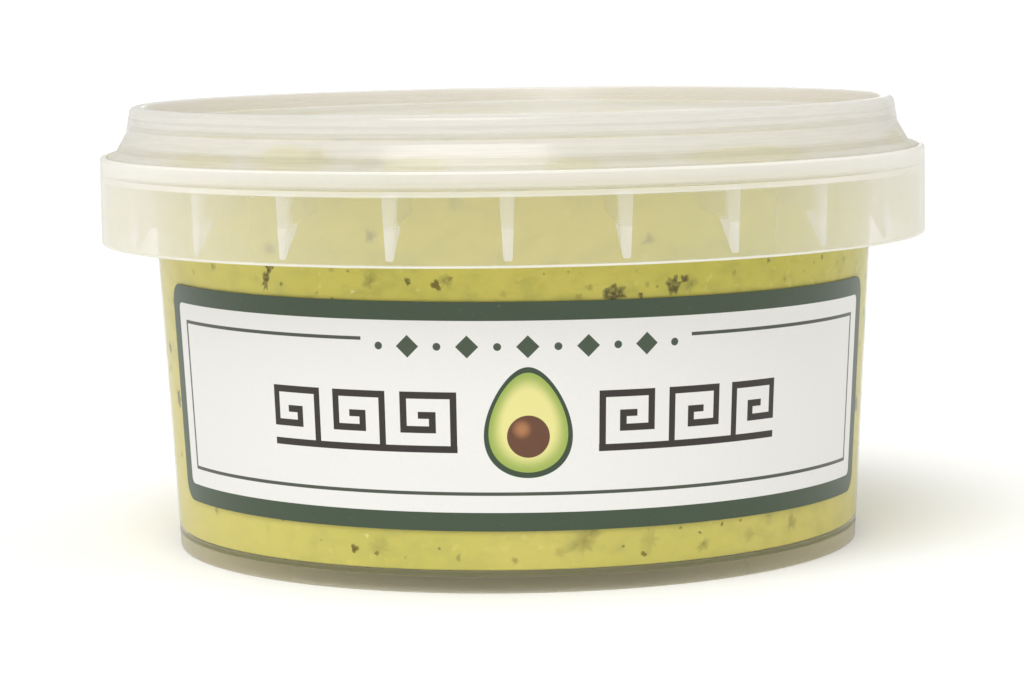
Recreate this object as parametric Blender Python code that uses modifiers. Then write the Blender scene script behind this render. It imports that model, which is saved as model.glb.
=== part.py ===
"""A shut pot of guacamole: a thin-walled plastic tub with a ribbed collar, the lid pressed onto it, the dip
that fills it and the label round its front.

The pot stands on z = 0 about the Z axis, and its front faces -Y. The tub, the lid and the dip are turned from
outlines of (radius, height) points. The tub's ribs are joined to it, and the label is a flat plate wrapped
round it.
"""

import math

import bmesh
import bpy
from mathutils import Matrix, Vector

MM = 0.001
SEGMENTS = 72  # facets round the pot: three to each rib
CLEARANCE = 0.3 * MM  # between pieces that rest on or in each other
MERGE = 0.01 * MM
SMALL_FILLET = 0.35 * MM  # one facet turns a smaller corner, and two a larger one

# The tub: a leaning wall on a short foot, with a collar that hangs outside it from a flat web
WALL = 0.6 * MM
BASE_RADIUS = 39.75 * MM
LEAN = 0.0537  # the wall's radius grows by this for each unit of height
FOOT_HEIGHT = 2.4 * MM  # from the table to the underside of the floor
WEB_HEIGHT = 43.0 * MM  # the web's underside
RIM_HEIGHT = 48.4 * MM
RIM_BEAD = 0.8 * MM  # how far the rim's bead stands out of the wall
COLLAR_RADIUS = 48.0 * MM
COLLAR_BOTTOM = 35.6 * MM
COLLAR_TOP = 45.65 * MM

# The ribs that stiffen the collar: plates between it and the wall, thinner downwards. Their lower edge is a
# steep tip on the collar, and from a knee on it rises gently to the wall.
RIBS = 24
RIB_ROOT_THICKNESS = 1.6 * MM
RIB_TIP_THICKNESS = 0.95 * MM
RIB_TIP_HEIGHT = 36.2 * MM  # the lowest point, inside the collar's wall
RIB_KNEE_HEIGHT = 40.2 * MM
RIB_KNEE_DEPTH = 2.1 * MM  # inwards from the collar
RIB_WALL_HEIGHT = 40.9 * MM  # the lowest point on the tub's wall

# The lid: a recessed panel inside a stacking ring, a sloping shoulder, and a skirt inside the collar
PANEL_HEIGHT = 49.4 * MM
PANEL_RADIUS = 42.4 * MM
RING_HEIGHT = 51.3 * MM
RING_INNER_RADIUS = 42.95 * MM
RING_OUTER_RADIUS = 44.4 * MM
CORNER_RADIUS = 44.9 * MM  # where the ring's side meets the slope
CORNER_HEIGHT = 48.3 * MM
SHOULDER_RADIUS = 46.15 * MM  # where the slope meets the skirt's top
SHOULDER_HEIGHT = 46.1 * MM
SKIRT_DROP = 0.3 * MM  # the skirt's top falls by this towards its edge
SKIRT_BOTTOM = 44.5 * MM

# The dip, spread level with low waves in its top
FILL_HEIGHT = 47.3 * MM
WAVE_HEIGHT = 0.25 * MM
WAVE_LENGTH = 23.0 * MM

# The label, as it is cut flat
LABEL_WIDTH = 100.0 * MM
LABEL_HEIGHT = 24.7 * MM
LABEL_THICKNESS = 0.15 * MM
LABEL_CORNER = 2.4 * MM
LABEL_MIDDLE = 19.15 * MM  # the height of its middle
LABEL_TURN = math.radians(2.5)  # from the pot's front towards +X
LABEL_TILT = math.radians(-0.35)  # stuck on a little crooked


def wall_radius(height):
    """The outer radius of the tub's wall."""
    return BASE_RADIUS + LEAN * height


def clear_scene():
    for thing in list(bpy.data.objects):
        bpy.data.objects.remove(thing)


def new_collection(name):
    collection = bpy.data.collections.new(name)
    bpy.context.scene.collection.children.link(collection)
    return collection


def new_material(name, colour, roughness, alpha=1.0):
    material = bpy.data.materials.new(name)
    material.use_nodes = True
    shader = material.node_tree.nodes["Principled BSDF"]
    shader.inputs["Base Color"].default_value = (*colour, 1.0)
    shader.inputs["Roughness"].default_value = roughness
    shader.inputs["Metallic"].default_value = 0.0
    shader.inputs["Alpha"].default_value = alpha
    return material


def new_object(name, mesh, collection, material=None):
    piece = bpy.data.objects.new(name, mesh)
    collection.objects.link(piece)
    if material:
        mesh.materials.append(material)
    return piece


def fillet(corner, before, after, radius):
    """The points of an arc that rounds a corner between its two neighbours."""
    to_before = (before - corner).normalized()
    to_after = (after - corner).normalized()
    half_angle = to_before.angle(to_after) / 2
    middle = (to_before + to_after).normalized()
    centre = corner + middle * radius / math.sin(half_angle)
    reach = radius / math.tan(half_angle)
    steps = 1 if radius < SMALL_FILLET else 2
    start = corner + to_before * reach - centre
    sweep = start.angle_signed(corner + to_after * reach - centre)
    return [centre + Matrix.Rotation(-sweep * step / steps, 2) @ start for step in range(steps + 1)]


def rounded(corners):
    """An outline through corners of (radius, height) or (radius, height, fillet)."""
    places = [Vector(corner[:2]) for corner in corners]
    points = []
    for index, corner in enumerate(corners):
        if len(corner) == 3:
            points += fillet(places[index], places[index - 1], places[index + 1], corner[2])
        else:
            points.append(places[index])
    return points


def turned(name, outline, collection, material):
    """A solid turned from an outline that starts and ends on the axis and runs down its outer side."""
    mesh = bpy.data.meshes.new(name)
    edges = [(index, index + 1) for index in range(len(outline) - 1)]
    mesh.from_pydata([(radius, 0.0, height) for radius, height in outline], edges, [])
    piece = new_object(name, mesh, collection, material)
    screw = piece.modifiers.new("Turn", "SCREW")
    screw.steps = SEGMENTS
    screw.render_steps = SEGMENTS
    screw.use_merge_vertices = True
    screw.merge_threshold = MERGE
    screw.use_smooth_shade = True
    return piece


def tub_outline():
    floor = FOOT_HEIGHT + WALL
    web_top = WEB_HEIGHT + WALL
    collar_inside = COLLAR_RADIUS - WALL
    bead_height = 1.2 * MM
    rim_radius = wall_radius(RIM_HEIGHT)
    return rounded([
        (0.0, floor),
        (wall_radius(floor) - WALL, floor, 0.8 * MM),
        (rim_radius - WALL, RIM_HEIGHT, 0.2 * MM),
        (rim_radius + RIM_BEAD, RIM_HEIGHT, 0.3 * MM),
        (rim_radius + RIM_BEAD, RIM_HEIGHT - bead_height),
        (wall_radius(RIM_HEIGHT - 2 * bead_height), RIM_HEIGHT - 2 * bead_height),
        (wall_radius(web_top), web_top),
        (collar_inside, web_top),
        (collar_inside, COLLAR_TOP),
        (COLLAR_RADIUS, COLLAR_TOP, 0.3 * MM),
        (COLLAR_RADIUS, COLLAR_BOTTOM, 0.2 * MM),
        (collar_inside, COLLAR_BOTTOM),
        (collar_inside, WEB_HEIGHT, 0.3 * MM),
        (wall_radius(WEB_HEIGHT), WEB_HEIGHT, 0.3 * MM),
        (BASE_RADIUS, 0.0, 0.15 * MM),
        (BASE_RADIUS - WALL, 0.0),
        (BASE_RADIUS - WALL, FOOT_HEIGHT, 0.4 * MM),
        (0.0, FOOT_HEIGHT),
    ])


def lid_outline():
    skirt_radius = COLLAR_RADIUS - WALL - CLEARANCE
    skirt_height = SHOULDER_HEIGHT - SKIRT_DROP
    return rounded([
        (0.0, PANEL_HEIGHT),
        (PANEL_RADIUS, PANEL_HEIGHT, 0.3 * MM),
        (RING_INNER_RADIUS, RING_HEIGHT, 0.3 * MM),
        (RING_OUTER_RADIUS, RING_HEIGHT, 0.7 * MM),
        (CORNER_RADIUS, CORNER_HEIGHT),
        (SHOULDER_RADIUS, SHOULDER_HEIGHT),
        (skirt_radius, skirt_height),
        (skirt_radius, SKIRT_BOTTOM),
        (skirt_radius - WALL, SKIRT_BOTTOM),
        (skirt_radius - WALL, skirt_height - WALL),
        (SHOULDER_RADIUS - WALL, SHOULDER_HEIGHT - WALL),
        (CORNER_RADIUS - WALL, CORNER_HEIGHT),
        (RING_OUTER_RADIUS - WALL, RING_HEIGHT - WALL),
        (RING_INNER_RADIUS + WALL, RING_HEIGHT - WALL),
        (PANEL_RADIUS + WALL, PANEL_HEIGHT - WALL),
        (0.0, PANEL_HEIGHT - WALL),
    ])


def rib_outline():
    """A rib from its side, as (radius, height) points. It reaches into the collar, the web and the wall."""
    bite = WALL / 2
    root_height = WEB_HEIGHT + bite
    return [
        (COLLAR_RADIUS - bite, root_height),
        (COLLAR_RADIUS - bite, RIB_TIP_HEIGHT),
        (COLLAR_RADIUS - WALL - RIB_KNEE_DEPTH, RIB_KNEE_HEIGHT),
        (wall_radius(RIB_WALL_HEIGHT) - bite, RIB_WALL_HEIGHT),
        (wall_radius(root_height) - bite, root_height),
    ]


def rib_plate(mesh, angle):
    """Adds one rib: its outline extruded into a plate, whose thickness then follows the height."""
    near_side = mesh.faces.new([mesh.verts.new((radius, 0.0, height)) for radius, height in rib_outline()])
    extruded = bmesh.ops.extrude_face_region(mesh, geom=[near_side], use_keep_orig=True)["geom"]
    far_corners = [item for item in extruded if isinstance(item, bmesh.types.BMVert)]
    bmesh.ops.translate(mesh, verts=far_corners, vec=(0.0, 1.0, 0.0))
    turn = Matrix.Rotation(angle, 4, "Z")
    for corner in [*near_side.verts, *far_corners]:
        share = (corner.co.z - RIB_TIP_HEIGHT) / (WEB_HEIGHT - RIB_TIP_HEIGHT)
        thickness = RIB_TIP_THICKNESS + (RIB_ROOT_THICKNESS - RIB_TIP_THICKNESS) * share
        corner.co.y = (corner.co.y - 0.5) * thickness
        corner.co = turn @ corner.co


def make_ribs(collection):
    """The ribs as one object, which the tub takes in."""
    solid = bmesh.new()
    for number in range(RIBS):
        rib_plate(solid, math.tau * number / RIBS)
    bmesh.ops.recalc_face_normals(solid, faces=solid.faces)
    mesh = bpy.data.meshes.new("ribs")
    solid.to_mesh(mesh)
    solid.free()
    ribs = new_object("ribs", mesh, collection)
    ribs.hide_render = True
    ribs.display_type = "WIRE"
    return ribs


def make_tub(collection, material, ribs):
    tub = turned("tub", tub_outline(), collection, material)
    join = tub.modifiers.new("Ribs", "BOOLEAN")
    join.operation = "UNION"
    join.solver = "EXACT"
    join.object = ribs
    return tub


def make_lid(collection, material):
    return turned("lid", lid_outline(), collection, material)


def dip_wave(x, y):
    """The height of the dip's surface above its level, from three crossing waves."""
    headings = (0.4, 1.5, 2.7)
    lengths = (1.0, 0.73, 0.56)
    along = [x * math.cos(heading) + y * math.sin(heading) for heading in headings]
    waves = [math.sin(math.tau * way / (WAVE_LENGTH * length)) for way, length in zip(along, lengths)]
    return WAVE_HEIGHT * sum(waves)


def make_dip(collection, material):
    floor = FOOT_HEIGHT + WALL + CLEARANCE
    inset = WALL + CLEARANCE
    edge = wall_radius(FILL_HEIGHT) - inset
    rings = 6
    outline = [Vector((edge * ring / rings, FILL_HEIGHT)) for ring in range(rings)]
    outline += rounded([
        (edge * (rings - 1) / rings, FILL_HEIGHT),
        (edge, FILL_HEIGHT, 0.8 * MM),
        (wall_radius(floor) - inset, floor, 1.0 * MM),
        (0.0, floor),
    ])[1:]
    turning = turned("dip_turning", outline, collection, material)
    bpy.context.view_layer.update()
    seen = turning.evaluated_get(bpy.context.evaluated_depsgraph_get())
    mesh = bpy.data.meshes.new_from_object(seen)
    bpy.data.objects.remove(turning)
    for vertex in mesh.vertices:
        if vertex.co.z > FILL_HEIGHT - MERGE:
            vertex.co.z += dip_wave(vertex.co.x, vertex.co.y)
    mesh.name = "guacamole"
    return new_object("guacamole", mesh, collection)


def flat_label():
    """The label before it is stuck on: a plate in the XY plane with round corners, cut at every facet."""
    across, up = LABEL_WIDTH / 2, LABEL_HEIGHT / 2
    loop = [(-across, -up), (across, -up), (across, up), (-across, up)]
    padded = [loop[-1], *[(*place, LABEL_CORNER) for place in loop], loop[0]]
    points = rounded(padded)[1:-1]
    curve = bpy.data.curves.new("label_outline", "CURVE")
    curve.dimensions = "2D"
    curve.fill_mode = "BOTH"
    curve.extrude = LABEL_THICKNESS / 2
    spline = curve.splines.new("POLY")
    spline.points.add(len(points) - 1)
    for place, point in zip(points, spline.points):
        point.co = (place.x, place.y, 0.0, 1.0)
    spline.use_cyclic_u = True
    outline = bpy.data.objects.new("label_outline", curve)
    bpy.context.scene.collection.objects.link(outline)
    bpy.context.view_layer.update()
    seen = outline.evaluated_get(bpy.context.evaluated_depsgraph_get())
    mesh = bpy.data.meshes.new_from_object(seen)
    bpy.data.objects.remove(outline)
    plate = bmesh.new()
    plate.from_mesh(mesh)
    bmesh.ops.remove_doubles(plate, verts=plate.verts, dist=MERGE)
    facet = wall_radius(LABEL_MIDDLE) * math.tau / SEGMENTS
    for number in range(-SEGMENTS // 4, SEGMENTS // 4 + 1):
        everything = plate.verts[:] + plate.edges[:] + plate.faces[:]
        cut = (number * facet - LABEL_TURN * wall_radius(LABEL_MIDDLE), 0.0, 0.0)
        bmesh.ops.bisect_plane(plate, geom=everything, dist=MERGE, plane_co=cut, plane_no=(1.0, 0.0, 0.0))
    bmesh.ops.triangulate(plate, faces=plate.faces)
    plate.to_mesh(mesh)
    plate.free()
    return mesh


def make_label(collection, material):
    """Wraps the flat label round the wall, clear of it."""
    mesh = flat_label()
    mesh.name = "label"
    middle_radius = wall_radius(LABEL_MIDDLE)
    tilt = Matrix.Rotation(LABEL_TILT, 3, "Z")
    for vertex in mesh.vertices:
        along, up, out = tilt @ vertex.co
        angle = along / middle_radius + LABEL_TURN - math.pi / 2
        height = LABEL_MIDDLE + up
        radius = wall_radius(height) + CLEARANCE + LABEL_THICKNESS / 2 + out
        vertex.co = (radius * math.cos(angle), radius * math.sin(angle), height)
    return new_object("label", mesh, collection, material)


def main():
    clear_scene()
    pot = new_collection("guacamole_pot")
    helpers = new_collection("helpers")
    clear_plastic = new_material("clear_plastic", (0.84, 0.81, 0.74), 0.3, alpha=0.5)
    dip = new_material("dip", (0.56, 0.50, 0.12), 0.45)
    paper = new_material("paper", (0.80, 0.80, 0.76), 0.5)
    make_tub(pot, clear_plastic, make_ribs(helpers))
    make_lid(pot, clear_plastic)
    make_dip(pot, dip)
    make_label(pot, paper)


main()
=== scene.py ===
# %% [markdown]
# # A shut pot of guacamole
# A pot like this is four things. The tub and the lid are moulded in thin, uncoloured polypropylene, which
# lets light through but always looks a little milky. The dip fills the tub right up to the lid, and a printed
# label runs round the front. Each of the four is made in its own cells below, together with its finish.

# %% Load the fixed frame
import math
import random

import bmesh
import bpy
from mathutils import Matrix, Vector, noise


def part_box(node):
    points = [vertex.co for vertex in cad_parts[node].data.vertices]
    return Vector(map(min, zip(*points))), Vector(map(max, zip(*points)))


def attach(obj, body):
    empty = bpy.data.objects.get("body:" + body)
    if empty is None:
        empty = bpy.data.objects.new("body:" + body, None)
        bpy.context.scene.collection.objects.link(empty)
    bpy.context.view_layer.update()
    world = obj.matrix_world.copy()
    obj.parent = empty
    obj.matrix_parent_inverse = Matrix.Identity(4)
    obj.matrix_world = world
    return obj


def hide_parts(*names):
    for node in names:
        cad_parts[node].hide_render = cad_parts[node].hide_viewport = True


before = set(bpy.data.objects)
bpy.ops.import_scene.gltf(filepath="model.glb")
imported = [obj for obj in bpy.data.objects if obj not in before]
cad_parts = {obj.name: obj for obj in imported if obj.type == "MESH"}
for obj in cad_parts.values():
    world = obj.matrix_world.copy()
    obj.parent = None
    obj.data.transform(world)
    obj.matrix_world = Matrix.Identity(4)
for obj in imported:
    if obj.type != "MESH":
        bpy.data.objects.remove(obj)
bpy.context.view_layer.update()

# %% [markdown]
# ## The sizes
# The construction model gives the outer sizes, so nothing drifts away from it. What it doesn't give, such as
# how thick the wall is, is a named length. Everything is in metres, and MM turns millimetres into them.

# %% Sizes of the pot
MM = 0.001
_, tub_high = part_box("tub")
lid_low, lid_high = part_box("lid")
collar_radius = tub_high.x
rim_height = tub_high.z
ring_height = lid_high.z
skirt_bottom = lid_low.z

wall = 0.6 * MM
base_radius = 39.75 * MM
lean = 0.0537  # the wall's radius grows by this for each unit of height
foot_height = 2.4 * MM
web_height = 43.0 * MM
collar_bottom = 35.6 * MM
collar_top = 45.65 * MM
collar_inside = collar_radius - wall


def wall_radius(height):
    """The outer radius of the tub's wall."""
    return base_radius + lean * height


def link(name, mesh):
    """A new object in the scene."""
    piece = bpy.data.objects.new(name, mesh)
    bpy.context.scene.collection.objects.link(piece)
    return piece


print(f"collar {2000 * collar_radius:.1f} mm across, pot {1000 * ring_height:.1f} mm high")

# %% [markdown]
# ## The camera
# The pot is seen from the front, from a little above its lid and from about four pot widths away, which is
# close enough for the rings to curve visibly. A hand-held camera is never quite level, so it has a small
# roll.

# %% Camera
camera_distance = 392.9 * MM
camera_height = 65.43 * MM
camera_turn = math.radians(0.73)  # round the pot, towards +X
camera_pan = math.radians(0.055)
camera_dip = math.radians(6.184)
camera_roll = math.radians(-0.9235)
camera_lens = 117.84

camera_data = bpy.data.cameras.new("camera")
camera_data.lens = camera_lens
camera_data.sensor_width = 36.0
camera_data.clip_start = 0.01
camera = link("camera", camera_data)
camera.matrix_world = (
    Matrix.Rotation(camera_turn, 4, "Z")
    @ Matrix.Translation((0.0, -camera_distance, camera_height))
    @ Matrix.Rotation(camera_pan, 4, "Z")
    @ Matrix.Rotation(math.pi / 2 - camera_dip, 4, "X")
    @ Matrix.Rotation(camera_roll, 4, "Z")
)
bpy.context.scene.camera = camera
print("camera at", [round(c, 4) for c in camera.matrix_world.translation])

# %% [markdown]
# ## Shader maths as Python
# A node tree is easier to read as a formula than as a page of boxes. A Field wraps one socket, so adding two
# fields adds a Math node, and a Finish is one material: its node method adds any other node from its type,
# its settings and what goes into its sockets.

# %% Fields and finishes
class Field:
    """A value that changes over a surface."""

    def __init__(self, finish, socket):
        self.finish = finish
        self.socket = socket

    def math(self, operation, *values):
        return self.finish.node("ShaderNodeMath", {"operation": operation}, dict(enumerate(values)))

    def __add__(self, other):
        return self.math("ADD", self, other)

    def __sub__(self, other):
        return self.math("SUBTRACT", self, other)

    def __rsub__(self, other):
        return self.math("SUBTRACT", other, self)

    def __mul__(self, other):
        return self.math("MULTIPLY", self, other)

    def __truediv__(self, other):
        return self.math("DIVIDE", self, other)

    def __pow__(self, other):
        return self.math("POWER", self, other)

    def __mod__(self, other):
        return self.math("FLOORED_MODULO", self, other)

    def __abs__(self):
        return self.math("ABSOLUTE", self)

    __radd__ = __add__
    __rmul__ = __mul__

    def least(self, other):
        return self.math("MINIMUM", self, other)

    def most(self, other):
        return self.math("MAXIMUM", self, other)

    def rise(self, start, end):
        """0 up to start, 1 from end on, and a smooth slope between. It falls where end is the lower one."""
        settings = {"interpolation_type": "SMOOTHSTEP"}
        limits = {"From Min": start, "From Max": end, "To Min": 0.0, "To Max": 1.0}
        return self.finish.node("ShaderNodeMapRange", settings, {"Value": self, **limits})

    def band(self, low, high, blur):
        """1 between low and high, fading out over blur on both sides."""
        return self.rise(low - blur, low) * (1 - self.rise(high, high + blur))


class Finish:
    """A material and the nodes that make it."""

    def __init__(self, name):
        self.material = bpy.data.materials.new(name)
        self.material.use_nodes = True
        self.tree = self.material.node_tree
        self.tree.nodes.clear()

    def node(self, kind, settings, inputs, output=0):
        made = self.tree.nodes.new(kind)
        for setting, value in settings.items():
            setattr(made, setting, value)
        for name, value in inputs.items():
            if isinstance(value, Field):
                self.tree.links.new(value.socket, made.inputs[name])
            else:
                made.inputs[name].default_value = value
        return Field(self, made.outputs[output])

    def split(self, vector):
        """The X, Y and Z of a vector."""
        first = self.node("ShaderNodeSeparateXYZ", {}, {0: vector})
        return [Field(self, output) for output in first.socket.node.outputs]

    def place(self):
        """Where a point lies on the pot."""
        return self.node("ShaderNodeTexCoord", {}, {}, output=3)

    def blend(self, mask, low, high):
        """One colour where the mask is 0 and another where it is 1."""
        return self.node("ShaderNodeMix", {"data_type": "RGBA"}, {0: mask, 6: low, 7: high}, output=2)

    def clouds(self, vector, size, detail=2.0, roughness=0.5):
        """Soft noise from 0 to 1 with features of about this size."""
        inputs = {"Vector": vector, "Scale": 1 / size, "Detail": detail, "Roughness": roughness}
        return self.node("ShaderNodeTexNoise", {}, inputs)

    def flattened(self, vector, amount):
        """A vector with its height scaled up, so that clouds made from it are this much flatter."""
        scale = (1.0, 1.0, amount)
        return self.node("ShaderNodeVectorMath", {"operation": "MULTIPLY"}, {0: vector, 1: scale})

    def relief(self, height, depth):
        """A normal for a surface with this relief, its depth in metres."""
        return self.node("ShaderNodeBump", {}, {"Height": height, "Distance": depth, "Strength": 1.0})

    def layer(self, share, under, over):
        """Two shaders, the share being how much of the upper one shows."""
        return self.node("ShaderNodeMixShader", {}, {0: share, 1: under, 2: over})

    def surface(self, shader):
        output = self.tree.nodes.new("ShaderNodeOutputMaterial")
        self.tree.links.new(shader.socket, output.inputs["Surface"])
        return self.material


def colour(red, green, blue):
    """A colour as painted (0 to 255 a channel), made linear for the shader."""
    shares = [channel / 255 for channel in (red, green, blue)]
    return (*[s / 12.92 if s <= 0.04045 else ((s + 0.055) / 1.055) ** 2.4 for s in shares], 1.0)


# %% [markdown]
# ## The stage
# A white sweep and soft light from all sides suit a glossy, half clear thing: hard lamps would only show as
# streaks in the plastic. The world gives most of the light, and a broad softbox above the front, a little to
# the left, gives the pot its shape. A faint window low behind it only shows as a sheen on the lid's flat
# panel. Both are sun lamps, so they don't fall off over the pot. The view transform is plain sRGB, so that a
# white label stays white.

# %% Stage and light
world = bpy.data.worlds.new("studio")
world.use_nodes = True
world.node_tree.nodes["Background"].inputs["Color"].default_value = (1.0, 0.995, 0.985, 1.0)
world.node_tree.nodes["Background"].inputs["Strength"].default_value = 0.78
bpy.context.scene.world = world
bpy.context.scene.view_settings.view_transform = "Standard"
bpy.context.scene.cycles.transparent_max_bounces = 48  # light passes many clear walls on its way to the dip

bpy.ops.mesh.primitive_circle_add(vertices=64, radius=30.0, fill_type="NGON")
floor = bpy.context.object
floor.name = "floor"
floor_finish = Finish("studio_floor")
floor_shader = floor_finish.node(
    "ShaderNodeBsdfPrincipled", {}, {"Base Color": colour(250, 250, 249), "Roughness": 0.9}
)
floor.data.materials.append(floor_finish.surface(floor_shader))


def lamp(name, direction, width, energy):
    """A lamp in this direction from the pot, from where it looks so many degrees wide."""
    data = bpy.data.lights.new(name, "SUN")
    data.angle = math.radians(width)
    data.energy = energy
    link(name, data).rotation_euler = Vector(direction).to_track_quat("Z", "Y").to_euler()
    print(f"{name} {math.degrees(math.asin(Vector(direction).normalized().z)):.0f} degrees up")


lamp("softbox", (-0.17, -0.53, 0.83), 38, 1.6)
lamp("window", (0.02, 1.0, 0.04), 12, 0.04)

# %% [markdown]
# ## Turned shapes
# The tub and the lid are both bodies of revolution, so each is drawn as half its section and turned with a
# Screw modifier. The section runs down its outer side, which keeps the faces pointing out. Sharp corners
# would look like cut glass: moulded plastic has a small radius on every edge, so the section takes a radius
# at each corner.

# %% Section and turning helpers
ARC_STEP = math.radians(15)
AROUND = 360  # steps round the pot
MERGE = 0.001 * MM


def fillet(corner, before, after, radius):
    """The points of an arc that rounds a corner between its two neighbours."""
    to_before = (before - corner).normalized()
    to_after = (after - corner).normalized()
    half_angle = to_before.angle(to_after) / 2
    centre = corner + (to_before + to_after).normalized() * radius / math.sin(half_angle)
    reach = radius / math.tan(half_angle)
    start = corner + to_before * reach - centre
    sweep = start.angle_signed(corner + to_after * reach - centre)
    steps = max(2, round(abs(sweep) / ARC_STEP))
    return [centre + Matrix.Rotation(-sweep * step / steps, 2) @ start for step in range(steps + 1)]


def rounded(corners):
    """A section through corners of (radius, height) or (radius, height, fillet)."""
    places = [Vector(corner[:2]) for corner in corners]
    points = []
    for index, corner in enumerate(corners):
        if len(corner) == 3:
            points += fillet(places[index], places[index - 1], places[index + 1], corner[2])
        else:
            points.append(places[index])
    return points


def applied(piece, name):
    """The piece with its modifiers worked into a new mesh."""
    bpy.context.view_layer.update()
    seen = piece.evaluated_get(bpy.context.evaluated_depsgraph_get())
    mesh = bpy.data.meshes.new_from_object(seen)
    mesh.name = name
    bpy.data.objects.remove(piece)
    return link(name, mesh)


def turned(name, section):
    mesh = bpy.data.meshes.new(name)
    edges = [(index, index + 1) for index in range(len(section) - 1)]
    mesh.from_pydata([(radius, 0.0, height) for radius, height in section], edges, [])
    piece = link(name + "_section", mesh)
    screw = piece.modifiers.new("Turn", "SCREW")
    screw.steps = AROUND
    screw.render_steps = AROUND
    screw.use_merge_vertices = True
    screw.merge_threshold = MERGE
    return applied(piece, name)


def kept(piece, material, node, angle=32):
    """The last steps for each piece: its shading and finish, its body and the node that it stands for."""
    piece.data.shade_smooth()
    piece.data.set_sharp_from_angle(angle=math.radians(angle))
    piece.data.materials.clear()
    piece.data.materials.append(material)
    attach(piece, "root")
    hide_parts(node)
    print(f"{piece.name}: {len(piece.data.polygons)} faces")


# %% [markdown]
# ## The plastic
# Uncoloured polypropylene isn't clear like glass. Tiny crystals in it scatter light, so a wall shows what is
# behind it through a faint white haze, and the haze is strongest where the wall is seen edge on, because
# there the eye looks along it. So the finish is three layers: a see-through one, a milky one that is lit from
# both sides, and a gloss over both that grows towards the edges. Real glass shaders would bend the light too,
# but walls this thin hardly do, and a plain see-through layer renders cleanly and survives export.
#
# A thick spot is whiter than a thin one. A surface shader can't know how much plastic lies behind a point, so
# the haze is raised where the section is thick: at the web and the root of the wall above it, at the
# collar's two edges and along the lid's ring. Under the floor the wall goes on as a foot with no dip behind
# it. There the milk is painted a dull grey-yellow as painted shade for the dark space under the pot, and a
# painted dark shade line runs along the corner under the dip.

# %% Plastic finish
MILK = colour(252, 251, 247)


def plastic(name, look, gloss_ahead=0.035):
    """A milky plastic. look gives its haze seen square on, what is added edge on, and the milk's colour."""
    finish = Finish(name)
    place = finish.place()
    square_haze, edge_haze, milk_colour = look(finish, place)
    facing = finish.node("ShaderNodeLayerWeight", {}, {"Blend": 0.5}, output=1)
    haze = (square_haze + edge_haze * facing ** 1.5).least(0.97)
    gloss = gloss_ahead + 0.5 * facing ** 5.0
    ripple = finish.clouds(place, 5 * MM, 1.0)
    normal = finish.relief(ripple, 0.02 * MM)
    clear = finish.node("ShaderNodeBsdfTransparent", {}, {"Color": (0.99, 0.989, 0.98, 1.0)})
    milk = finish.node(
        "ShaderNodeBsdfPrincipled", {},
        {"Base Color": milk_colour, "Roughness": 0.5, "Specular IOR Level": 0.2, "Normal": normal},
    )
    lit_through = finish.node("ShaderNodeBsdfTranslucent", {}, {"Color": MILK})
    body = finish.layer(haze, clear, finish.layer(0.45, milk, lit_through))
    shine = finish.node("ShaderNodeBsdfAnisotropic", {}, {"Roughness": 0.16, "Normal": normal})
    return finish.surface(finish.layer(gloss, body, shine))


def distance_out(finish, place):
    """How far a point is from the pot's axis."""
    x, y, _ = finish.split(place)
    return (x * x + y * y) ** 0.5


def tub_look(finish, place):
    height = finish.split(place)[2]
    on_collar = distance_out(finish, place).rise(collar_inside - 1.4 * MM, collar_inside - 0.9 * MM)
    web = height.band(web_height + 0.05 * MM, web_height + wall - 0.05 * MM, 0.1 * MM) * 0.6
    above_web = height.rise(web_height + wall, web_height + 1.2 * MM) * 0.33
    wall_root = height.rise(web_height + 0.45 * MM, web_height + 0.7 * MM) * (1 - on_collar) * 0.7
    lower_edge = 1 - height.rise(collar_bottom + 0.15 * MM, collar_bottom + 0.35 * MM)
    upper_edge = height.rise(collar_top - 0.5 * MM, collar_top - 0.2 * MM)
    thick = web.most(0.75 * lower_edge).most(0.5 * upper_edge).most(above_web)
    # Painted shade: the foot's milk is a dull grey-yellow for the dark space under the pot seen through it,
    # and the corner band under the floor is a painted dark shade line.
    foot = height.rise(foot_height + 0.1 * MM, foot_height)
    corner = height.band(foot_height - 0.4 * MM, foot_height - 0.1 * MM, 0.25 * MM)
    body = finish.blend(foot, MILK, colour(220, 209, 170))
    body = finish.blend(corner, body, colour(104, 106, 74))
    square_haze = 0.02 + (0.125 + thick) * on_collar + wall_root + 0.15 * foot + 0.5 * corner
    return square_haze, 0.04 + 0.95 * on_collar + 0.8 * foot, body


tub_plastic = plastic("tub_plastic", tub_look, 0.02)

# %% [markdown]
# ## The tub
# The wall leans out a little so that the tub comes off its mould, and it stands on a short foot. Near the top
# a flat web carries the collar, which hangs outside the wall and shields the edge of the lid.

# %% Tub
rim_bead = 0.8 * MM
bead_height = 1.2 * MM
floor_height = foot_height + wall
rim_radius = wall_radius(rim_height)
web_top = web_height + wall
below_bead = rim_height - 2 * bead_height

tub_piece = turned("tub_moulding", rounded([
    (0.0, floor_height),
    (wall_radius(floor_height) - wall, floor_height, 0.8 * MM),
    (rim_radius - wall, rim_height, 0.25 * MM),
    (rim_radius + rim_bead, rim_height, 0.4 * MM),
    (rim_radius + rim_bead, rim_height - bead_height, 0.3 * MM),
    (wall_radius(below_bead), below_bead, 0.4 * MM),
    (wall_radius(web_top), web_top, 0.3 * MM),
    (collar_inside, web_top, 0.3 * MM),
    (collar_inside, collar_top, 0.1 * MM),
    (collar_radius, collar_top, 0.4 * MM),
    (collar_radius, collar_bottom, 0.25 * MM),
    (collar_inside, collar_bottom, 0.2 * MM),
    (collar_inside, web_height, 0.3 * MM),
    (wall_radius(web_height), web_height, 0.3 * MM),
    (base_radius, 0.0, 0.3 * MM),
    (base_radius - wall, 0.0, 0.15 * MM),
    (base_radius - wall, foot_height, 0.4 * MM),
    (0.0, foot_height),
]))
kept(tub_piece, tub_plastic, "tub")

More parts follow.
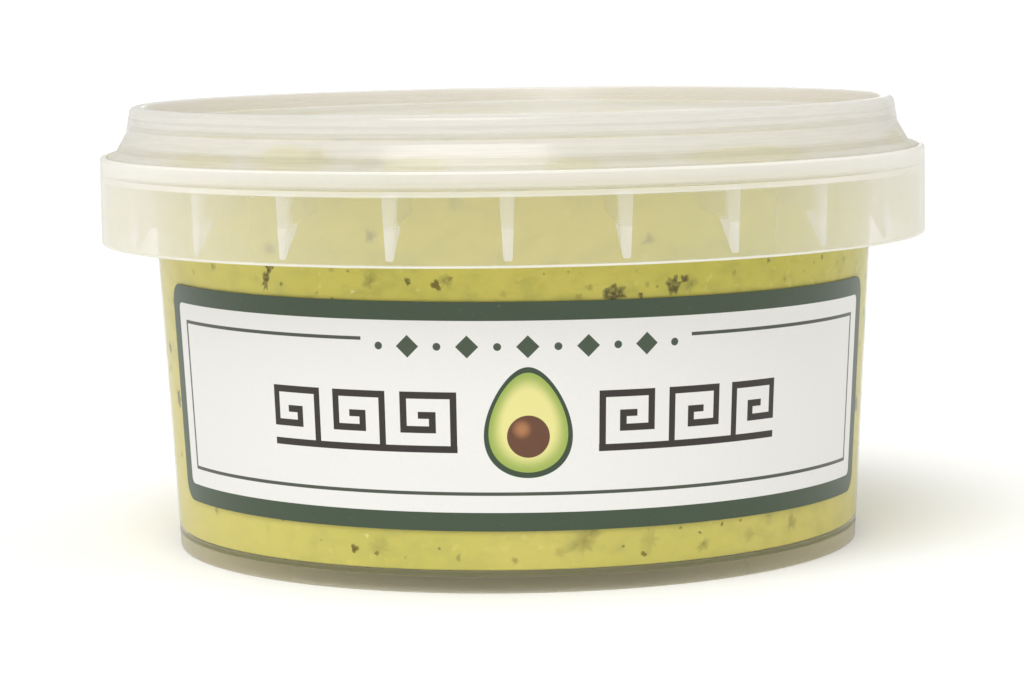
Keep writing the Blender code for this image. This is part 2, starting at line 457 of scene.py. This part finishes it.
# %% [markdown]
# ## The ribs
# Ribs between the wall and the collar stop it from folding. Each is a plate whose lower edge has a steep tip
# on the collar and a gentle rise to the wall. The ribs are a piece of their own that reaches into the tub's
# plastic. A Boolean union would be closer to the moulding, but it would also take away the surfaces inside,
# and with them the extra haze that makes a rib stand out white behind the collar. It is whitest where it
# meets the collar and in its tip, and the rest of the plate is nearly clear.

# %% Ribs
rib_count = 24
rib_root_thickness = 1.6 * MM
rib_tip_thickness = 0.95 * MM
rib_tip_height = 36.2 * MM
rib_knee_height = 40.2 * MM
rib_knee_depth = 2.1 * MM
rib_wall_height = 40.9 * MM
rib_bite = wall / 2


def rib_outline():
    """A rib from its side, as (radius, height) points."""
    root_height = web_height + rib_bite
    return [
        (collar_radius - rib_bite, root_height),
        (collar_radius - rib_bite, rib_tip_height),
        (collar_inside - rib_knee_depth, rib_knee_height),
        (wall_radius(rib_wall_height) - rib_bite, rib_wall_height),
        (wall_radius(root_height) - rib_bite, root_height),
    ]


def rib_plate(mesh, angle):
    """Adds one rib: its outline extruded into a plate, whose thickness then follows the height."""
    near_side = mesh.faces.new([mesh.verts.new((radius, 0.0, height)) for radius, height in rib_outline()])
    extruded = bmesh.ops.extrude_face_region(mesh, geom=[near_side], use_keep_orig=True)["geom"]
    far_corners = [item for item in extruded if isinstance(item, bmesh.types.BMVert)]
    bmesh.ops.translate(mesh, verts=far_corners, vec=(0.0, 1.0, 0.0))
    turn = Matrix.Rotation(angle, 4, "Z")
    for corner in [*near_side.verts, *far_corners]:
        share = (corner.co.z - rib_tip_height) / (web_height - rib_tip_height)
        thickness = rib_tip_thickness + (rib_root_thickness - rib_tip_thickness) * share
        corner.co.y = (corner.co.y - 0.5) * thickness
        corner.co = turn @ corner.co


plates = bmesh.new()
for number in range(rib_count):
    rib_plate(plates, math.tau * number / rib_count)
bmesh.ops.recalc_face_normals(plates, faces=plates.faces)
rib_mesh = bpy.data.meshes.new("ribs")
plates.to_mesh(rib_mesh)
plates.free()
ribs = link("ribs", rib_mesh)
edge_round = ribs.modifiers.new("Edges", "BEVEL")
edge_round.width = 0.18 * MM
edge_round.segments = 3


def rib_look(finish, place):
    tip = finish.split(place)[2].rise(rib_knee_height + 0.1 * MM, rib_knee_height - 0.8 * MM)
    at_collar = distance_out(finish, place).rise(collar_inside - 0.9 * MM, collar_inside - 0.1 * MM)
    return 0.04 + (0.48 * at_collar).most(0.62 * tip), 0.06 + 0.1 * at_collar + 0.5 * tip, MILK


rib_piece = applied(ribs, "collar_ribs")
kept(rib_piece, plastic("rib_plastic", rib_look), "tub")

# %% [markdown]
# ## The lid
# The lid is a flat panel inside a raised ring, in which the foot of the next pot stands when pots are
# stacked. Outside the ring it slopes down to a skirt that hides inside the collar. The lid is the same
# plastic as the tub but thicker, so it is hazier and whiter, though its milk is a greyer copy of the tub's, a
# painted shade against the strong light from above. Where dip has squeezed up between the rim and the lid, a
# pale yellow patch shows through, which tints the milk there. The patches are a short list of places at the
# front and drawn at random behind, and noise breaks up their outline. The dip also touches the panel in
# places. The ring's inner side and the slope outside it have less light behind them, so their milk is painted
# greyer, as painted shade.

# %% Sizes of the lid
panel_height = 49.4 * MM
panel_radius = 42.4 * MM
ring_inner_radius = 42.95 * MM
ring_outer_radius = 44.4 * MM
corner_radius = 44.9 * MM
corner_height = 48.3 * MM
shoulder_radius = 46.15 * MM
shoulder_height = 46.1 * MM
skirt_radius = lid_high.x
skirt_height = shoulder_height - 0.3 * MM
gate_radius = 1.9 * MM  # the mark in the middle where the plastic was let into the mould
gate_relief = 0.2 * MM
print(f"lid panel {2000 * panel_radius:.1f} mm across")

# %% Lid finish
# A greyer copy of the milk for the lid: painted shade against the softbox's strong light on the lid.
SHADED_LID_MILK = colour(243, 242, 240)
DEGREE = math.degrees(1.0)
draws = random.Random(11)

wet_patches = [  # degrees round the pot, half width in degrees, height and half height in mm
    (-46.5, 6.0, 46.2, 0.8),
    (-30.5, 6.5, 46.6, 1.5),
    (-12.0, 4.5, 46.1, 0.9),
    (9.0, 4.0, 46.0, 0.7),
    (34.0, 10.0, 46.4, 0.9),
]
wet_patches += [
    (angle + draws.uniform(-8, 8), draws.uniform(4, 11), draws.uniform(45.9, 46.8), draws.uniform(0.6, 1.4))
    for angle in range(76, 290, 25)
]
lid_specks = [(-26.6, 1.3, 47.1, 0.6), (-18.6, 1.7, 46.25, 0.6)]  # bits of herb in the patches
lid_bands = [  # height where it starts and ends in mm, and how much the haze changes there
    (49.95, 50.15, -0.16), (48.85, 49.35, -0.2), (47.2, 48.7, 0.14), (46.35, 46.85, -0.16),
]


def degrees_apart(angle, other):
    """How far apart two places round the pot are. The angle may be a number or a field."""
    return abs((angle - other + 180) % 360 - 180)


def spots_mask(finish, place, spots, ragged_by):
    """1 in the middle of each spot, fading out towards its ragged outline."""
    x, y, height = finish.split(place)
    angle = x.math("ARCTAN2", x, y * -1) * DEGREE
    ragged = (finish.clouds(place, 2.5 * MM, 3.0) - 0.5) * ragged_by
    mask = 0.0 * angle
    for middle, half_width, level, half_height in spots:
        beside = degrees_apart(angle, middle) / half_width
        above = (height - level * MM) / (half_height * MM)
        mask = mask.most((beside * beside + above * above + ragged).rise(1.5, 0.5))
    return mask


def lid_look(finish, place):
    height = finish.split(place)[2]
    from_axis = distance_out(finish, place)
    on_ring = from_axis.rise(panel_radius - 0.4 * MM, panel_radius + 0.6 * MM)
    streaks = finish.clouds(finish.flattened(place, 22.0), 9 * MM, 2.0) - 0.5
    haze = 0.4 + (0.12 + 0.3 * streaks) * on_ring
    for low, high, change in lid_bands:
        haze = haze + change * on_ring * height.band(low * MM, high * MM, 0.12 * MM)
    touching = finish.clouds(place, 15 * MM, 3.0, 0.55).rise(0.52, 0.62) * (1 - on_ring) * 0.6
    wet = touching.most(spots_mask(finish, place, wet_patches, 1.6) * 0.6)
    body = finish.blend(wet, SHADED_LID_MILK, colour(234, 228, 166))
    body = finish.blend(spots_mask(finish, place, lid_specks, 1.0) * 0.3, body, colour(160, 158, 112))
    # The ring's inner side gets a greyer milk and more of it: painted shade.
    ring_inside_shade = from_axis.band(panel_radius + 0.05 * MM, ring_inner_radius - 0.05 * MM, 0.1 * MM)
    body = finish.blend(ring_inside_shade * 0.8, body, colour(212, 201, 184))
    # The slope outside the ring gets a greyer milk: painted shade.
    slope = from_axis.rise(corner_radius - 0.2 * MM, corner_radius + 0.1 * MM)
    body = finish.blend(slope * 0.4, body, colour(215, 211, 202))
    return haze + 0.35 * ring_inside_shade, 0.25, body


# %% Lid
lid_piece = turned("lid_moulding", rounded([
    (0.0, panel_height - gate_relief),
    (gate_radius / 2, panel_height - gate_relief, 0.1 * MM),
    (0.6 * gate_radius, panel_height + gate_relief, 0.1 * MM),
    (gate_radius, panel_height + gate_relief, 0.1 * MM),
    (1.1 * gate_radius, panel_height, 0.1 * MM),
    (panel_radius, panel_height, 0.4 * MM),
    (ring_inner_radius, ring_height, 0.35 * MM),
    (ring_outer_radius, ring_height, 0.75 * MM),
    (corner_radius, corner_height, 0.5 * MM),
    (shoulder_radius, shoulder_height, 0.3 * MM),
    (skirt_radius, skirt_height, 0.25 * MM),
    (skirt_radius, skirt_bottom, 0.1 * MM),
    (skirt_radius - wall, skirt_bottom, 0.1 * MM),
    (skirt_radius - wall, skirt_height - wall, 0.2 * MM),
    (shoulder_radius - wall, shoulder_height - wall, 0.2 * MM),
    (corner_radius - wall, corner_height, 0.3 * MM),
    (ring_outer_radius - wall, ring_height - wall, 0.2 * MM),
    (ring_inner_radius + wall, ring_height - wall, 0.1 * MM),
    (panel_radius + wall, panel_height - wall, 0.2 * MM),
    (0.0, panel_height - wall),
]))
kept(lid_piece, plastic("lid_plastic", lid_look), "lid")

# %% [markdown]
# ## The dip
# The dip wets the wall all round, so there is no air between them. Its piece therefore reaches three quarters
# of the way into the wall: what shows is the dip just under the plastic's surface. Mashed avocado is pale
# yellow-green with softer, greyer clouds where bits of herb lie deeper in it. Its colour also has painted
# light in it: it is painted paler on the left side, where the softbox comes from, paler near the foot as
# painted light from below, and a clearer yellow behind the collar to lift the collar's shade.

# %% Dip finish
def dip_colour_and_painted_light(finish, place):
    """The dip's colour with its painted light, which the edges of the herb bits fade into."""
    broad = finish.clouds(place, 24 * MM, 2.0)
    mash = finish.blend(broad.rise(0.35, 0.65), colour(189, 183, 73), colour(199, 188, 86))
    mottle = finish.clouds(finish.flattened(place, 1.7), 3.2 * MM, 4.0, 0.6)
    mash = finish.blend(mottle.rise(0.42, 0.70) * 0.7, mash, colour(171, 167, 72))
    pale = finish.clouds(place, 1.1 * MM, 2.0)
    mash = finish.blend(pale.rise(0.60, 0.8) * 0.6, mash, colour(214, 206, 112))
    x, _, height = finish.split(place)
    # Painted light: a clearer yellow behind the collar to lift its shade, paler near the foot as light from
    # below, and paler on the left, where the softbox comes from.
    mash = finish.blend(height.rise(34 * MM, 39 * MM) * 0.5, mash, colour(222, 211, 84))
    mash = finish.blend(height.rise(14 * MM, 6 * MM) * 0.3, mash, colour(212, 200, 122))
    mash = finish.blend(x.rise(-14 * MM, -36 * MM) * 0.4, mash, colour(226, 213, 126))
    deep = finish.clouds(place, 6.5 * MM, 3.0, 0.6)
    return finish.blend(deep.rise(0.62, 0.80) * 0.6, mash, colour(148, 146, 80))


def dip_shader(finish, base):
    return finish.node(
        "ShaderNodeBsdfPrincipled", {},
        {"Base Color": base, "Roughness": 0.5, "Specular IOR Level": 0.15, "Subsurface Weight": 0.12,
         "Subsurface Radius": (1.0, 0.8, 0.25), "Subsurface Scale": 2 * MM},
    )


def dip_finish():
    finish = Finish("dip")
    return finish.surface(dip_shader(finish, dip_colour_and_painted_light(finish, finish.place())))


# %% [markdown]
# The dip is turned like the tub and then shaped: its top is pulled into the soft waves that a spatula leaves,
# and its edge runs unevenly along the wall, as high as the wet patches where it has squeezed up.

# %% Dip
dip_inset = wall / 4
dip_bottom = foot_height + 0.1 * MM
fill_height = 46.6 * MM
shaped_from = 41 * MM  # the side is plain below this height
wave_height = 0.55 * MM
wave_length = 11 * MM


def smooth_share(value, start, end):
    share = min(1.0, max(0.0, (value - start) / (end - start)))
    return share * share * (3 - 2 * share)


def edge_rise(angle):
    """How far the dip's edge stands above its level, at so many degrees round the pot."""
    turn = math.radians(angle)
    rise = 0.25 * noise.noise(Vector((4 * math.cos(turn), 4 * math.sin(turn), 0.0)))
    for middle, half_width, level, half_height in wet_patches:
        beside = degrees_apart(angle, middle) / half_width
        squeezed_up = level + 0.7 * half_height - fill_height / MM
        rise = max(rise, squeezed_up * (1 - smooth_share(beside, 0.4, 1.2)))
    return rise * MM


noise.seed_set(7)  # without a seed, noise_vector changes from run to run


def top_rise(x, y):
    """The waves in the dip's top."""
    place = Vector((x, y, 0.0)) / wave_length
    swirl = noise.noise(place + 0.8 * noise.noise_vector(place))
    return wave_height * (0.7 + swirl + 0.25 * noise.noise(place * 3.1))


dip_radius = wall_radius(fill_height) - dip_inset
top_points = [(dip_radius * step / 60, fill_height) for step in range(58)]
side_points = [
    (wall_radius(height) - dip_inset, height)
    for height in (fill_height - step * 0.4 * MM for step in range(2, 15))
]
dip_piece = turned("guacamole_dip", [Vector(point) for point in top_points] + rounded([
    top_points[-1],
    (dip_radius, fill_height, 0.6 * MM),
    side_points[0],
])[1:-1] + [Vector(point) for point in side_points] + rounded([
    side_points[-1],
    (wall_radius(dip_bottom) - dip_inset, dip_bottom, 0.2 * MM),
    (0.0, dip_bottom),
])[1:])
for vertex in dip_piece.data.vertices:
    x, y, height = vertex.co
    out = math.hypot(x, y)
    if height > shaped_from:
        near_wall = smooth_share(out, 0.88 * dip_radius, 0.99 * dip_radius)
        angle = math.degrees(math.atan2(x, -y))
        lift = near_wall * edge_rise(angle) + (1 - near_wall) * top_rise(x, y)
        lift *= smooth_share(height, shaped_from, fill_height - 0.3 * MM)
        vertex.co.z += lift
        if out > 0:
            vertex.co.xy *= 1 + near_wall * lean * lift / out
kept(dip_piece, dip_finish(), "guacamole", 60)

# %% [markdown]
# ## Herb bits
# The dip has chopped coriander in it. Against the wall its bits show sharply: crumpled and mottled, from
# olive to nearly black. Deeper ones are only soft grey-green or amber clouds, and the smallest hardly show.
# Each bit is a thin closed flake of a few rings of points, and each point says how much herb shows there, how
# dark it is, how brown and how pale. At its rim a flake has the dip's colour and sinks under the dip's
# surface, so a soft bit has no edge. The ones at the front are listed one by one, and the others are
# scattered over the wall and the top.

# %% Herb finish
SAID = ("shows", "dark", "brown", "pale")  # what each point of a bit says, from 0 to 1


def herb_finish():
    finish = Finish("herb")
    said = {
        name: finish.node("ShaderNodeAttribute", {"attribute_name": name}, {}, output=2) for name in SAID
    }
    veins = finish.clouds(finish.place(), 0.45 * MM, 3.0, 0.7).rise(0.38, 0.62)
    darkness = (said["dark"] + 0.9 * (veins - 0.6)).rise(0.0, 1.0)
    leaf = finish.blend(darkness, colour(150, 141, 62), colour(78, 70, 14))
    leaf = finish.blend(said["brown"], leaf, colour(116, 97, 2))
    leaf = finish.blend(said["pale"], leaf, colour(226, 220, 150))
    base = finish.blend(said["shows"], dip_colour_and_painted_light(finish, finish.place()), leaf)
    return finish.surface(dip_shader(finish, base))


# %% Herb bits
SHARP_RINGS = [  # share of its size, how much shows, how dark, how far it stands out
    (0.40, 1.0, 0.65, 1.0), (0.70, 0.95, 0.8, 0.9), (0.92, 0.6, 0.8, 0.4), (1.14, 0.0, 0.5, -0.5),
]
SOFT_RINGS = [
    (0.30, 0.55, 0.4, 1.0), (0.60, 0.38, 0.3, 0.8), (0.90, 0.15, 0.2, 0.3), (1.25, 0.0, 0.0, -0.5),
]
FLAKE_THICKNESS = 0.05 * MM


class Flakes:
    """All the herb bits as one mesh."""

    def __init__(self):
        self.mesh = bmesh.new()
        self.layers = {name: self.mesh.verts.layers.float.new(name) for name in SAID}

    def point(self, place, **said):
        vertex = self.mesh.verts.new(place)
        for name, value in said.items():
            vertex[self.layers[name]] = value
        return vertex

    def add(self, spot, size, stretch=1.0, turn=0.0, kind="sharp", corners=0):
        """Adds a bit. spot(across, up, out) gives the place of a point of it, all in metres."""
        rings = SOFT_RINGS if kind in ("soft", "faint", "amber") else SHARP_RINGS
        brown = draws.uniform(0.6, 1.0) if kind in ("brown", "amber") else draws.uniform(0.0, 0.3)
        pale = 1.0 if kind == "pale" else 0.0
        strength = {"faint": 0.55, "pale": 0.8}.get(kind, 1.0) * min(1.0, 0.4 + 0.55 * size / MM)
        count = 18 if size > 0.9 * MM else 10
        wobble = [draws.uniform(0.45, 1.1) for _ in range(count)]
        if corners:
            wobble = [0.5 + 0.5 * abs(math.cos(corners * math.pi * step / count)) for step in range(count)]
        tilt = math.radians(turn)

        def place(share, step, out):
            reach = 0.5 * size * share * wobble[step]
            around = math.tau * step / count
            along = reach * math.cos(around) * stretch**0.5
            aside = reach * math.sin(around) / stretch**0.5
            across = along * math.cos(tilt) - aside * math.sin(tilt)
            up = along * math.sin(tilt) + aside * math.cos(tilt)
            return spot(across, up, out * FLAKE_THICKNESS)

        _, first_shows, first_dark, _ = rings[0]
        top = self.point(
            spot(0, 0, FLAKE_THICKNESS), shows=first_shows * strength, dark=first_dark, brown=brown, pale=pale
        )
        inner = None
        for share, shows, dark, out in rings:
            ring = [
                self.point(
                    place(share, step, out), shows=shows * strength, brown=brown, pale=pale,
                    dark=min(1.0, dark * draws.uniform(0.5, 1.5)),
                )
                for step in range(count)
            ]
            for step in range(count):
                following = (step + 1) % count
                if inner is None:
                    self.mesh.faces.new([top, ring[step], ring[following]])
                else:
                    self.mesh.faces.new([inner[step], ring[step], ring[following], inner[following]])
            inner = ring
        under = self.point(spot(0, 0, -2 * FLAKE_THICKNESS))
        for step in range(count):
            self.mesh.faces.new([under, inner[(step + 1) % count], inner[step]])

    def piece(self, name):
        bmesh.ops.recalc_face_normals(self.mesh, faces=self.mesh.faces)
        mesh = bpy.data.meshes.new(name)
        self.mesh.to_mesh(mesh)
        self.mesh.free()
        return link(name, mesh)


def wall_spot(angle, height):
    """Places a flat bit on the dip's side."""
    def spot(across, up, out):
        level = height * MM + up
        radius = wall_radius(level) - dip_inset + out
        turn = math.radians(angle) + across / radius
        return (radius * math.sin(turn), -radius * math.cos(turn), level)
    return spot


def top_spot(x, y):
    """Places a flat bit on the dip's top."""
    def spot(across, up, out):
        there = (x + across, y + up)
        return (*there, fill_height + top_rise(*there) + out)
    return spot


front_bits = [  # degrees round the pot, height and size in mm, stretch, turn, kind, corners
    (-52.4, 34.4, 1.3, 0.8, 0, "soft", 0), (-58.8, 33.4, 1.0, 1.0, 0, "faint", 0),
    (-38.9, 34.7, 1.4, 1.1, 20, "sharp", 3), (-39.8, 33.3, 2.0, 2.2, 80, "sharp", 0),
    (-36.7, 33.0, 0.55, 1.0, 0, "sharp", 0), (-30.1, 32.2, 0.6, 1.2, 40, "soft", 0),
    (-27.3, 34.8, 0.8, 1.2, 10, "soft", 0), (-24.5, 34.7, 0.45, 1.2, 0, "sharp", 0),
    (-27.4, 31.7, 0.45, 1.0, 0, "sharp", 0), (-21.2, 33.6, 2.2, 1.4, 75, "soft", 0),
    (-23.9, 32.5, 0.7, 1.0, 0, "pale", 0), (-15.1, 33.7, 1.0, 1.2, 70, "sharp", 0),
    (-10.8, 33.3, 1.35, 1.3, -50, "brown", 3), (-9.4, 33.8, 2.2, 1.3, 10, "soft", 0),
    (-8.8, 34.0, 0.75, 1.2, 0, "sharp", 0), (-0.9, 32.3, 1.0, 1.0, 0, "faint", 0),
    (11.8, 32.8, 1.1, 1.0, 0, "soft", 0), (10.2, 31.8, 1.2, 1.5, 0, "soft", 0),
    (15.6, 32.2, 2.9, 1.35, 8, "sharp", 0), (19.6, 31.8, 0.9, 1.2, 60, "sharp", 0),
    (20.7, 32.8, 0.8, 1.0, 0, "soft", 0), (24.8, 32.5, 2.5, 1.2, 80, "sharp", 0),
    (27.0, 33.2, 1.3, 1.4, -30, "sharp", 0), (27.6, 32.7, 2.6, 1.2, 60, "soft", 0),
    (35.6, 33.5, 0.8, 1.0, 0, "soft", 0), (42.4, 34.5, 0.7, 1.2, 30, "sharp", 0),
    (46.2, 32.3, 0.8, 1.3, 80, "soft", 0), (56.0, 34.2, 0.65, 1.2, 50, "sharp", 0),
    (63.9, 33.5, 1.2, 1.0, 0, "soft", 0),
    (-56.8, 6.7, 1.5, 1.5, 80, "soft", 0), (-39.3, 6.9, 0.45, 1.0, 0, "sharp", 0),
    (-25.6, 4.5, 1.15, 1.0, 10, "brown", 3), (-21.8, 4.1, 0.75, 1.1, 0, "sharp", 0),
    (-21.3, 4.8, 2.6, 1.1, 0, "faint", 0), (-23.4, 6.0, 0.7, 1.0, 0, "pale", 0),
    (-17.0, 3.8, 0.45, 1.0, 0, "soft", 0), (-8.6, 3.9, 1.0, 1.3, 70, "amber", 0),
    (-11.5, 4.9, 0.4, 1.0, 0, "sharp", 0), (0.2, 3.6, 1.0, 1.2, 0, "amber", 0),
    (7.1, 4.5, 1.5, 1.2, 0, "faint", 0), (10.8, 5.5, 3.6, 1.15, 50, "soft", 0),
    (12.4, 6.4, 2.4, 1.3, 30, "soft", 0),
    (17.1, 4.7, 0.45, 1.0, 0, "sharp", 0), (20.4, 3.7, 0.9, 1.5, 0, "brown", 0),
    (21.4, 5.2, 3.2, 1.3, 80, "faint", 0), (26.7, 6.2, 0.45, 1.0, 0, "sharp", 0),
    (30.9, 4.1, 2.1, 1.5, 50, "soft", 0), (30.2, 5.5, 0.5, 1.0, 0, "sharp", 0),
    (34.4, 6.1, 0.7, 1.6, 80, "sharp", 0), (40.0, 4.6, 2.4, 1.3, -60, "faint", 0),
    (50.0, 5.0, 2.4, 1.5, 75, "soft", 0),
    (-20.7, 38.4, 2.0, 1.0, 0, "soft", 0), (20.9, 37.7, 2.0, 1.0, 0, "soft", 0),
    (-38.7, 36.8, 2.2, 1.2, 0, "soft", 0), (-26.6, 47.0, 1.8, 1.1, 0, "sharp", 0),
    (-18.6, 46.1, 1.8, 1.1, 0, "sharp", 0),
]

flakes = Flakes()
for angle, height, size, stretch, turn, kind, corners in front_bits:
    flakes.add(wall_spot(angle, height), size * MM, stretch, turn, kind, corners)

wall_bits, top_bits = 900, 170
front_edge = 78  # degrees to each side up to which the front shows
for number in range(wall_bits):
    angle, height = draws.uniform(-180, 180), draws.uniform(3.8, 45.5)
    size = 0.3 + 2.3 * draws.random() ** 2.7  # most are small
    kind = draws.choice(("sharp", "sharp", "soft", "soft", "faint", "brown", "pale"))
    if kind in ("soft", "faint"):
        size *= 1.4
    beside_label = abs(angle) < front_edge and (height < 8.5 or height > 30)
    behind_collar = abs(angle) < front_edge and height > collar_bottom / MM - 0.6
    if not (behind_collar or beside_label and size > 0.5):  # there only the listed bits show
        flakes.add(wall_spot(angle, height), size * MM, draws.uniform(1.0, 1.5), draws.uniform(0, 180), kind)
for number in range(top_bits):
    out, angle = 0.86 * dip_radius * math.sqrt(draws.random()), draws.uniform(0, math.tau)
    place = (out * math.cos(angle), out * math.sin(angle))
    flakes.add(
        top_spot(*place), draws.uniform(0.5, 3.0) * MM, draws.uniform(1.0, 1.6), draws.uniform(0, 180),
        draws.choice(("sharp", "soft", "brown")),
    )
kept(flakes.piece("herb_flecks"), herb_finish(), "guacamole", 60)

# %% [markdown]
# ## The label
# A paper label with round corners is stuck round the front, a little crooked. It could be cut out of the
# wall's own faces, but its corners would come out ragged. So it starts as a flat grid that already has the
# round corners. Each point is then put round the leaning wall, and a Solidify modifier gives the paper its
# thickness. The place of each point on the flat label is kept as a UV map, on which the print is drawn.

# %% Label sheet
label_width = 100.0 * MM
label_height = 24.7 * MM
label_corner = 2.2 * MM
label_middle = 19.15 * MM
label_turn = math.radians(2.5)
label_tilt = math.radians(-0.35)
label_lift = 0.03 * MM
label_thickness = 0.09 * MM
columns, rows = 240, 60


def half_width(up):
    """How far the label reaches to each side at this height above its middle."""
    into_corner = max(0.0, abs(up) - (label_height / 2 - label_corner))
    return label_width / 2 - label_corner + math.sqrt(max(0.0, label_corner**2 - into_corner**2))


def on_wall(along, up, out):
    """A point of the flat label, put round the leaning wall."""
    tilted = Matrix.Rotation(label_tilt, 2) @ Vector((along, up))
    angle = tilted.x / wall_radius(label_middle) + label_turn - math.pi / 2
    height = label_middle + tilted.y
    radius = wall_radius(height) + out
    return (radius * math.cos(angle), radius * math.sin(angle), height)


def label_sheet():
    sheet = bmesh.new()
    uv = sheet.loops.layers.uv.new("OFBake")
    flat = {}
    for row in range(rows + 1):
        up = -0.5 * label_height * math.cos(math.pi * row / rows)
        for column in range(columns + 1):
            along = half_width(up) * (2 * column / columns - 1)
            vertex = sheet.verts.new(on_wall(along, up, label_lift))
            flat[vertex] = (along / label_width + 0.5, up / label_height + 0.5)
    sheet.verts.ensure_lookup_table()
    for row in range(rows):
        for column in range(columns):
            first = row * (columns + 1) + column
            corners = [first, first + 1, first + columns + 2, first + columns + 1]
            face = sheet.faces.new([sheet.verts[corner] for corner in corners])
            for loop in face.loops:
                loop[uv].uv = flat[loop.vert]
    mesh = bpy.data.meshes.new("label_sheet")
    sheet.to_mesh(mesh)
    sheet.free()
    piece = link("label_sheet", mesh)
    thicken = piece.modifiers.new("Paper", "SOLIDIFY")
    thicken.thickness = label_thickness
    thicken.offset = 1.0
    return applied(piece, "printed_label")


# %% [markdown]
# ## The print
# The label is white with a dark green border and a thin frame line. Everything on it is drawn in millimetres
# from the label's middle: a shape is a mask that is 1 inside it, and each ink is laid over the paper through
# its mask. Round corners come from measuring how far a point is from a smaller rectangle. In the middle
# stands half an avocado between two bands of stepped fret, and a row of lozenges and dots closes the gap in
# the frame line.

# %% Drawing on the label
SHARP = 0.05  # mm over which a printed edge fades


def rounded_box(across, up, half_across, half_up, corner):
    """How far inside a round-cornered rectangle a point is, in mm."""
    right = abs(across) - (half_across - corner)
    above = abs(up) - (half_up - corner)
    past_corner = (right.most(0.0) ** 2 + above.most(0.0) ** 2) ** 0.5
    return corner - past_corner - right.most(above).least(0.0)


def bar(across, up, left, right, low, high):
    return across.band(left, right, SHARP) * up.band(low, high, SHARP)


def fret_mask(across, up):
    """A stepped fret: one unit, repeated outwards on both sides and mirrored."""
    start, unit, units = 7.6, 7.9, 3
    along = abs(across) - start
    u = along % unit
    strokes = [
        (-1.0, 9.0, -3.25, -2.55), (0.0, 0.7, -3.25, 3.25), (0.0, 6.2, 2.55, 3.25), (5.5, 6.2, -1.15, 3.25),
        (2.3, 6.2, -1.15, -0.45), (2.3, 3.0, -1.15, 1.1), (2.3, 4.2, 0.4, 1.1),
    ]
    mask = bar(u, up, *strokes[0])
    for stroke in strokes[1:]:
        mask = mask.most(bar(u, up, *stroke))
    return mask * along.band(0.0, unit * units - 1.7, SHARP)


def pear_depth(across, up, half_width, half_height, neck):
    """0 at the middle of an avocado's outline and 1 on it. The neck is how much it narrows upwards."""
    share = up / half_height
    aside = across / (half_width * (1 - neck * share))
    return (aside * aside + share * share) ** 0.5


def print_finish():
    finish = Finish("label_print")
    place = finish.place()
    uv = finish.node("ShaderNodeUVMap", {"uv_map": "OFBake"}, {})
    u, v, _ = finish.split(uv)
    across = (u - 0.5) * (label_width / MM)
    up = (v - 0.5) * (label_height / MM)
    half_across, half_up = label_width / MM / 2, label_height / MM / 2
    border, frame_inset, line_width = 2.0, 1.9, 0.33

    field = rounded_box(across, up, half_across - border, half_up - border, 0.8).rise(0.0, SHARP)
    frame_across, frame_up = half_across - border - frame_inset, half_up - border - frame_inset
    line = rounded_box(across, up, frame_across, frame_up, 0.1).band(0.0, line_width, SHARP)
    line = line * (1 - bar(across, up, -18.0, 18.0, 0.0, half_up))

    row_up = up - (frame_up - 0.9)
    row = abs(across).rise(17.0, 17.0 - SHARP)
    lozenge = (abs((across + 3.2) % 6.4 - 3.2) + abs(row_up)).rise(1.25, 1.25 - SHARP) * row
    beside = abs(across % 6.4 - 3.2)
    dot = (beside * beside + row_up * row_up).rise(0.2, 0.2 - SHARP) * row

    low = up + 0.6
    outline = pear_depth(across, low, 4.6, 6.0, 0.28)
    stone_up = low + 1.5
    stone = (across * across + stone_up * stone_up) ** 0.5
    shine_across, shine_up = across + 0.7, stone_up - 0.8
    shine = (shine_across * shine_across + shine_up * shine_up) ** 0.5

    worn = finish.clouds(place, 0.45 * MM, 2.0, 0.6).rise(0.68, 0.78)
    green = finish.blend(worn * 0.55, colour(54, 71, 50), colour(98, 120, 92))
    paper = finish.blend(finish.clouds(place, 0.3 * MM, 3.0), colour(223, 222, 218), colour(229, 228, 225))
    ink = colour(40, 32, 27)
    base = finish.blend(field, green, paper)
    base = finish.blend(line, base, colour(66, 72, 58))
    base = finish.blend(lozenge.most(dot), base, colour(62, 76, 58))
    base = finish.blend(fret_mask(across, up + 0.6), base, ink)
    base = finish.blend(outline.rise(1.0, 0.99), base, colour(48, 66, 44))
    flesh = finish.blend(outline.rise(0.55, 0.88), colour(222, 216, 140), colour(150, 170, 78))
    base = finish.blend(outline.rise(0.90, 0.89), base, flesh)
    nut = finish.blend(shine.rise(1.3, 0.2), colour(96, 58, 34), colour(164, 112, 70))
    base = finish.blend(stone.rise(2.3, 2.25), base, nut)
    fibres = finish.clouds(place, 0.12 * MM, 3.0, 0.6)
    shader = finish.node(
        "ShaderNodeBsdfPrincipled", {},
        {"Base Color": base, "Roughness": 0.38, "Normal": finish.relief(fibres, 0.004 * MM)},
    )
    return finish.surface(shader)


kept(label_sheet(), print_finish(), "label")
